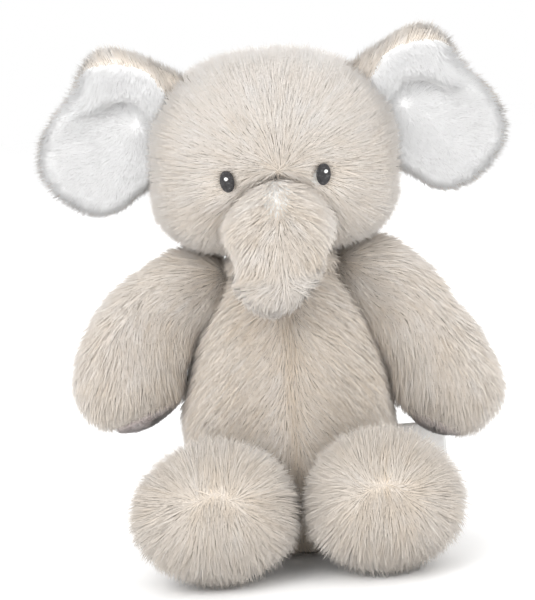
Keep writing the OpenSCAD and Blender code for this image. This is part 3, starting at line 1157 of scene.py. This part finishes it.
class ELEPHANT_OT_legs(bpy.types.Operator):
    """Makes the legs' covers and their pile, which spreads from the middle of each foot"""

    bl_idname = "elephant.legs"
    bl_label = "Legs"

    def execute(self, context):
        for side, sign in SIDES:
            skin = outer_form(f"{side}_leg_cover", f"{side}_leg_filling", SKIN)
            swell(skin, sizes().swell)
            p, n = vertices(skin), normals(skin)
            p = p + n * (lumps(p, 0.026, 17 + sign) * 0.0009)[:, None]
            out, ahead = p[:, 0] * sign, fade(-p[:, 1], 0.04, 0.075)
            p[:, 0] += sign * ahead * fade(out, 0.03, 0.07) * (0.0055 if sign < 0 else 0.002)
            p[:, 2] += ahead * (1 - fade(p[:, 2], 0.002, 0.034)) * 0.0045
            p[:, 2] = np.maximum(p[:, 2], 0.0006)
            crown = np.array([sign * 0.0405, -0.108, 0.045])
            away = p - crown
            across = p[:, 0] - crown[0]
            level = np.clip(across, -0.007, 0.007)
            away[:, 0] -= level
            away[:, 2] += 60 * level**2 + lumps(p, 0.009, 23 + sign) * 0.004
            far = np.linalg.norm(away, axis=1)
            move_vertices(skin, p)
            n = normals(skin)
            seam = np.exp(-((across / 0.0016) ** 2))
            seam *= fade(away[:, 2], 0.001, 0.004) * (1 - fade(away[:, 2], 0.011, 0.015))
            spread = (fade(far, -0.002, 0.02) / np.maximum(far, 1e-4))[:, None]
            flow = away * spread + np.array([0, 0, -0.42])
            # Painted shade darkens the middle of the whorl.
            tone = 0.4 + lumps(p, 0.02, 19) * 0.08 - seam * 0.3 - (1 - fade(far, 0.0, 0.014)) * 0.12
            tone += fade(far, 0.02, 0.034) * 0.07 - fade(p[:, 1], -0.05, -0.03) * 0.08
            ground = fade(p[:, 2], 0.001, 0.012)
            dress(skin, flow, pile=(0.75 + 0.45 * fade(far, 0.004, 0.02)) * (0.4 + 0.6 * ground), tone=tone)
            start, end = (sign * 0.030, -0.022, 0.033), (sign * 0.036, -0.050, 0.033)
            furred(
                skin, deep_pile(), 40 + sign, (f"{side}_leg", "torso", start, end),
                f"{side}_leg_skin", Wander=0.6, Clump=0.55,
            )
        return {"FINISHED"}


class ELEPHANT_OT_tail(bpy.types.Operator):
    """Makes the tail and its tuft"""

    bl_idname = "elephant.tail"
    bl_label = "Tail"

    def execute(self, context):
        skin = smooth(outer_form("tail_cover", "tail_skin", 0.0, 0.0013))
        count = len(skin.data.vertices)
        dress(skin, np.tile((0, 0.55, -0.8), (count, 1)), pile=np.full(count, 0.5))
        furred(skin, cream_pile(), 50, ("tail", "torso", *TAIL_SEAM), "tail_skin", 0.7)
        tuft = smooth(outer_form("tail_tuft_core", "tail_tuft", -0.0025, 0.0016))
        count = len(tuft.data.vertices)
        dress(tuft, np.tile((0, 0.55, -0.85), (count, 1)), tone=np.full(count, 0.5))
        thick = sizes().density * 1.5
        furred(tuft, cream_pile(), 51, ("tail",), "tail_tuft", 0.7, Density=thick)
        return {"FINISHED"}


def stitch_tree():
    """Satin stitches: one thread across an oval at each step down it."""
    tree = bpy.data.node_groups.new("satin_stitches", "GeometryNodeTree")
    new = tree.interface.new_socket
    new("Geometry", in_out="INPUT", socket_type="NodeSocketGeometry")
    for name, default in (("Width", 0.0076), ("Height", 0.011), ("Thread", 0.0004)):
        new(name, in_out="INPUT", socket_type="NodeSocketFloat").default_value = default
    new("Stitches", in_out="INPUT", socket_type="NodeSocketInt").default_value = 30
    new("Seed", in_out="INPUT", socket_type="NodeSocketInt")
    new("Thread finish", in_out="INPUT", socket_type="NodeSocketMaterial")
    new("Geometry", in_out="OUTPUT", socket_type="NodeSocketGeometry")
    bench = Bench(tree)
    source = tree.nodes.new("NodeGroupInput")
    given = {s.name: Wire(bench, s) for s in source.outputs if s.name}
    index = bench.add("GeometryNodeInputIndex")
    share = (index + 0.5) / given["Stitches"] * 2.0 - 1.0
    line = bench.add("GeometryNodeMeshLine", {}, {"Count": given["Stitches"]})
    spot = bench.add("ShaderNodeCombineXYZ", {}, {"Z": share * given["Height"] * 0.5})
    line = bench.add("GeometryNodeSetPosition", {}, {"Geometry": line, "Position": spot})
    tube = bench.add(
        "GeometryNodeMeshCylinder", {"fill_type": "TRIANGLE_FAN"},
        {"Vertices": 6, "Side Segments": 8, "Radius": 0.5, "Depth": 1.0},
    )
    width = (1.0 - share * share) ** 0.5 * given["Width"]
    jitter = bench.add(
        "FunctionNodeRandomValue", {"data_type": "FLOAT"},
        {"Min": 0.9, "Max": 1.06, "Seed": given["Seed"]}, "Value",
    )
    size = bench.add(
        "ShaderNodeCombineXYZ", {},
        {"X": given["Thread"] * 1.25, "Y": given["Thread"] * 1.1, "Z": width * jitter},
    )
    lay = bench.add("FunctionNodeEulerToRotation", {}, {0: (0.0, math.pi / 2, 0.0)})
    rows = bench.add(
        "GeometryNodeInstanceOnPoints", {},
        {"Points": line, "Instance": tube, "Rotation": lay, "Scale": size},
    )
    made = bench.add("GeometryNodeRealizeInstances", {}, {"Geometry": rows})
    made = bench.add(
        "GeometryNodeSetMaterial", {}, {"Geometry": made, "Material": given["Thread finish"]}
    )
    sink = tree.nodes.new("NodeGroupOutput")
    bench.plug(sink.inputs["Geometry"], made)
    return tree


EYE_TURN = 19  # degrees that each eye faces out to its side


def satin_patch(name, node, finish, width, height, thread, stitches, lift):
    """Stitches laid over a CAD node's front, following its bulge."""
    tree = bpy.data.node_groups.get("satin_stitches") or stitch_tree()
    base = mesh_object(name, [(0, 0, 0)], [])
    change = base.modifiers.new("stitches", "NODES")
    change.node_group = tree
    values = {
        "Width": width, "Height": height, "Thread": thread, "Stitches": stitches,
        "Seed": sizes().seed, "Thread finish": finish,
    }
    set_inputs(change, values)
    apply_modifiers(base)
    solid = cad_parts[node].data
    corners, faces = [v.co for v in solid.vertices], [p.vertices for p in solid.polygons]
    bvh = BVHTree.FromPolygons(corners, faces)
    lo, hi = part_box(node)
    middle = (lo + hi) / 2
    turn = math.radians(EYE_TURN) * (1 if middle.x > 0 else -1)
    right = Vector((math.cos(turn), math.sin(turn), 0))
    ahead = Vector((math.sin(turn), -math.cos(turn), 0.17)).normalized()
    up = ahead.cross(right).normalized()
    if up.z < 0:
        up = -up
    moved = []
    for v in base.data.vertices:
        flat = middle + right * v.co.x + up * v.co.z
        hit = bvh.ray_cast(flat + ahead * 0.02, -ahead)[0]
        hit = hit or bvh.find_nearest(flat + ahead * 0.002)[0]
        moved.append(hit + ahead * (lift - v.co.y))
    move_vertices(base, np.array([tuple(p) for p in moved]))
    return smooth(base)


# Width, height and thread of each patch, its number of stitches and how far it stands out.
EYE_SIZE = (0.0082, 0.0112, 0.00042, 28, 0.0004)
SPARK_SIZE = (0.0026, 0.0026, 0.00042, 6, 0.0005)


class ELEPHANT_OT_eyes(bpy.types.Operator):
    """Embroiders the eyes with their highlights"""

    bl_idname = "elephant.eyes"
    bl_label = "Eyes"

    def execute(self, context):
        c = tuple(colours().charcoal)

        def dark(bench, place):
            mottle = cloud(bench, place, 700, 4, 0.7)
            # The mottle is the thread's texture; its lightest stop is painted sheen.
            deep, thread_sheen = between(BLACK, c, 0.5), between(c, WHITE, 0.13)
            return {
                "Base_Color": ramped(bench, mottle, (0.35, deep), (0.55, c), (0.75, thread_sheen)),
                "Normal": bumped(bench, mottle, 0.5, 0.0002),
            }

        def pale(bench, place):
            mottle = cloud(bench, place, 900, 3)
            grey, bright = (0.75,) * 3, (0.95,) * 3
            return {"Base_Color": ramped(bench, mottle, (0.3, grey), (0.6, bright))}

        charcoal = material("charcoal_thread", 0.5, 0.1, dark)
        white = material("white_thread", 0.5, 0.1, pale)
        for side, _ in SIDES:
            for name, node, finish, slot, size in (
                ("eye_stitches", "eye", charcoal, "charcoal_embroidery", EYE_SIZE),
                ("eye_spark", "eye_highlight", white, "white_embroidery", SPARK_SIZE),
            ):
                cover_with(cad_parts[f"{side}_{node}"], finish)
                patch = satin_patch(f"{side}_{name}", f"{side}_{node}", finish, *size)
                join(patch, "head")
        return {"FINISHED"}


LABEL_DROP = 0.0055  # how far the label hangs below its place in the seam


class ELEPHANT_OT_label(bpy.types.Operator):
    """Makes the folded satin label in the side seam"""

    bl_idname = "elephant.label"
    bl_label = "Side label"

    def execute(self, context):
        lo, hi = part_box("side_label")
        steps, half = 24, 0.0011
        line = []
        for i in range(steps):
            t = i / (steps - 1)
            open_by = half * (0.35 + 0.65 * math.sin(math.pi * min(1, t * 1.1)))
            line.append((lo.x + (hi.x - 0.0015 - lo.x) * t, open_by))
        loop = [(x, -h) for x, h in line] + [(hi.x - 0.0004, 0)] + [(x, h) for x, h in line[::-1]]
        middle = (lo.y + hi.y) / 2
        rows = 12
        points, faces = [], []
        for j in range(rows + 1):
            z = lo.z - LABEL_DROP + (hi.z - lo.z) * j / rows
            sag = 0.0012 * math.sin(3.1 * j / rows)
            points += [(x, middle + y + sag * (x - lo.x) / (hi.x - lo.x), z) for x, y in loop]
        n = len(loop)
        for j in range(rows):
            for i in range(n - 1):
                a = j * n + i
                faces.append((a, a + 1, a + n + 1, a + n))
        ribbon = mesh_object("side_label_ribbon", points, faces)
        change = ribbon.modifiers.new("cloth", "SOLIDIFY")
        change.thickness = 0.0003
        change.offset = 0
        apply_modifiers(ribbon)

        def satin(bench, place):
            rib = ribs(bench, place, "Z", 900.0, 0.4)
            return two_tone(
                bench, rib, (0.2, (0.8, 0.8, 0.79)), (0.8, (0.93, 0.93, 0.92)), 0.3, 0.0001
            )

        cover_with(smooth(ribbon), material("satin_ribbon", 0.35, 0.2, satin))
        join(ribbon, "torso")
        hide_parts("side_label")
        return {"FINISHED"}


class ELEPHANT_OT_insides(bpy.types.Operator):
    """Finishes the filling, the bag of pellets and the sewing threads"""

    bl_idname = "elephant.insides"
    bl_label = "Filling and threads"

    def execute(self, context):
        def fibres(bench, place):
            web = cloud(bench, place, 300, 5, 0.7)
            return two_tone(
                bench, web, (0.3, (0.7, 0.69, 0.66)), (0.7, (0.94, 0.94, 0.92)), 0.7, 0.001
            )

        def woven(bench, place):
            weave = ribs(bench, place, "X", 500.0) * ribs(bench, place, "Z", 500.0)
            return two_tone(
                bench, weave, (0.1, (0.6, 0.58, 0.54)), (0.8, (0.85, 0.84, 0.8)), 0.5, 0.0003
            )

        def beads(bench, place):
            cells = bench.add(
                "ShaderNodeTexVoronoi", {}, {"Vector": place, "Scale": 330.0}, "Distance"
            )
            # Grey at the cells' edges is painted shade between the pellets.
            pale, grey = (0.86, 0.87, 0.88), (0.5, 0.52, 0.54)
            return {
                "Base_Color": ramped(bench, cells, (0.1, pale), (0.6, grey)),
                "Normal": bumped(bench, 1.0 - cells, 0.8, 0.001),
            }

        def twist(bench, place):
            ply = ribs(bench, place, "DIAGONAL", 700.0)
            return two_tone(
                bench, ply, (0.2, (0.5, 0.42, 0.34)), (0.8, (0.78, 0.7, 0.6)), 0.5, 0.0002
            )

        filling = material("fibre_filling", 0.95, 0.4, fibres)
        limbs = [f"{side}_{limb}" for side, _ in SIDES for limb in ("arm", "leg")]
        finishes = {
            **{f"{part}_filling": filling for part in ("torso", "neck", "head", "trunk", *limbs)},
            "pellet_bag": material("bag_cloth", 0.85, 0.1, woven),
            "pellets": material("glass_pellets", 0.4, 0.0, beads),
            "closing_stitches": material("sewing_thread", 0.7, 0.2, twist),
        }
        finishes["neck_thread"] = finishes["closing_stitches"]
        for node, finish in finishes.items():
            cover_with(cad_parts[node], finish)
        return {"FINISHED"}


CAMERA_FAR, VIEW_HEIGHT, CAMERA_LIFT, CAMERA_ROLL = 1.3, 0.3, 8.0, 4.5
CAMERA_AIM = (-0.0085, -0.03, 0.1315)
FLOOR_HALF = 3
LAMPS_AIM = (0, 0, 0.12)
# Name, place, size and power of each lamp.
LAMPS = (
    ("key_light", (-0.75, -1.2, 1.0), 1.2, 14.0),
    ("fill_light", (0.95, -1.2, 0.7), 1.4, 9.0),
    ("top_light", (0.1, -0.1, 1.5), 1.0, 1.0),
    ("back_light", (0.2, 1.4, 1.0), 1.4, 9.0),
)


class ELEPHANT_OT_stage(bpy.types.Operator):
    """Lays the pale floor and sets the studio lights and the camera"""

    bl_idname = "elephant.stage"
    bl_label = "Stage"

    def execute(self, context):
        scene = context.scene

        def even(bench, place):
            base = tuple(colours().floor)
            paler = between(base, WHITE, 0.4)
            return {"Base_Color": ramped(bench, cloud(bench, place, 3), (0.3, base), (0.7, paler))}

        corners = [(x * FLOOR_HALF, y * FLOOR_HALF, 0) for x, y in ((-1, -1), (1, -1), (1, 1), (-1, 1))]
        floor = mesh_object("floor", corners, [(0, 1, 2, 3)])
        cover_with(floor, material("pale_floor", 0.9, 0.0, even))
        world = bpy.data.worlds.new("studio")
        world.use_nodes = True
        world.node_tree.nodes["Background"].inputs["Color"].default_value = (1, 1, 1, 1)
        world.node_tree.nodes["Background"].inputs["Strength"].default_value = 1.0
        scene.world = world
        for name, place, size, power in LAMPS:
            lamp = bpy.data.lights.new(name, "AREA")
            lamp.size, lamp.energy = size, power
            holder = bpy.data.objects.new(name, lamp)
            holder.location = place
            holder.rotation_mode = "QUATERNION"
            aim = Vector(LAMPS_AIM) - Vector(place)
            holder.rotation_quaternion = aim.to_track_quat("-Z", "Y")
            scene.collection.objects.link(holder)
        lens = bpy.data.cameras.new("camera")
        lens.sensor_width, lens.lens = 36, 36 * CAMERA_FAR / VIEW_HEIGHT
        camera = bpy.data.objects.new("camera", lens)
        lift = math.radians(CAMERA_LIFT)
        back = Vector((0, -math.cos(lift), math.sin(lift)))
        camera.location = Vector(CAMERA_AIM) + back * CAMERA_FAR
        camera.rotation_mode = "QUATERNION"
        roll = Quaternion((0, 0, 1), math.radians(-CAMERA_ROLL))
        camera.rotation_quaternion = (-back).to_track_quat("-Z", "Y") @ roll
        scene.collection.objects.link(camera)
        scene.camera = camera
        scene.view_settings.view_transform = "Standard"
        return {"FINISHED"}


# ---------------------------------------------------------------- add-on

OPERATORS = (
    ELEPHANT_OT_torso, ELEPHANT_OT_neck, ELEPHANT_OT_head, ELEPHANT_OT_trunk, ELEPHANT_OT_ears,
    ELEPHANT_OT_eyes, ELEPHANT_OT_arms, ELEPHANT_OT_paw_pads, ELEPHANT_OT_legs,
    ELEPHANT_OT_tail, ELEPHANT_OT_label, ELEPHANT_OT_insides, ELEPHANT_OT_stage,
)


class ELEPHANT_PT_panel(bpy.types.Panel):
    """Lists the elephant's pieces in the sidebar"""

    bl_idname = "ELEPHANT_PT_panel"
    bl_label = "Plush elephant"
    bl_space_type = "VIEW_3D"
    bl_region_type = "UI"
    bl_category = "Plush elephant"

    def draw(self, context):
        for operator in OPERATORS:
            self.layout.operator(operator.bl_idname)
        for group in (context.scene.elephant_sizes, context.scene.elephant_colours):
            for key in group.bl_rna.properties.keys():
                if key not in ("rna_type", "name"):
                    self.layout.prop(group, key)


CLASSES = (PlushSizes, PlushColours, *OPERATORS, ELEPHANT_PT_panel)


def register():
    for each in CLASSES:
        bpy.utils.register_class(each)
    bpy.types.Scene.elephant_sizes = PointerProperty(type=PlushSizes)
    bpy.types.Scene.elephant_colours = PointerProperty(type=PlushColours)


def unregister():
    del bpy.types.Scene.elephant_colours
    del bpy.types.Scene.elephant_sizes
    for each in reversed(CLASSES):
        bpy.utils.unregister_class(each)


def main():
    register()
    for operator in OPERATORS:
        family, name = operator.bl_idname.split(".")
        getattr(getattr(bpy.ops, family), name)()


if __name__ == "__main__":
    main()
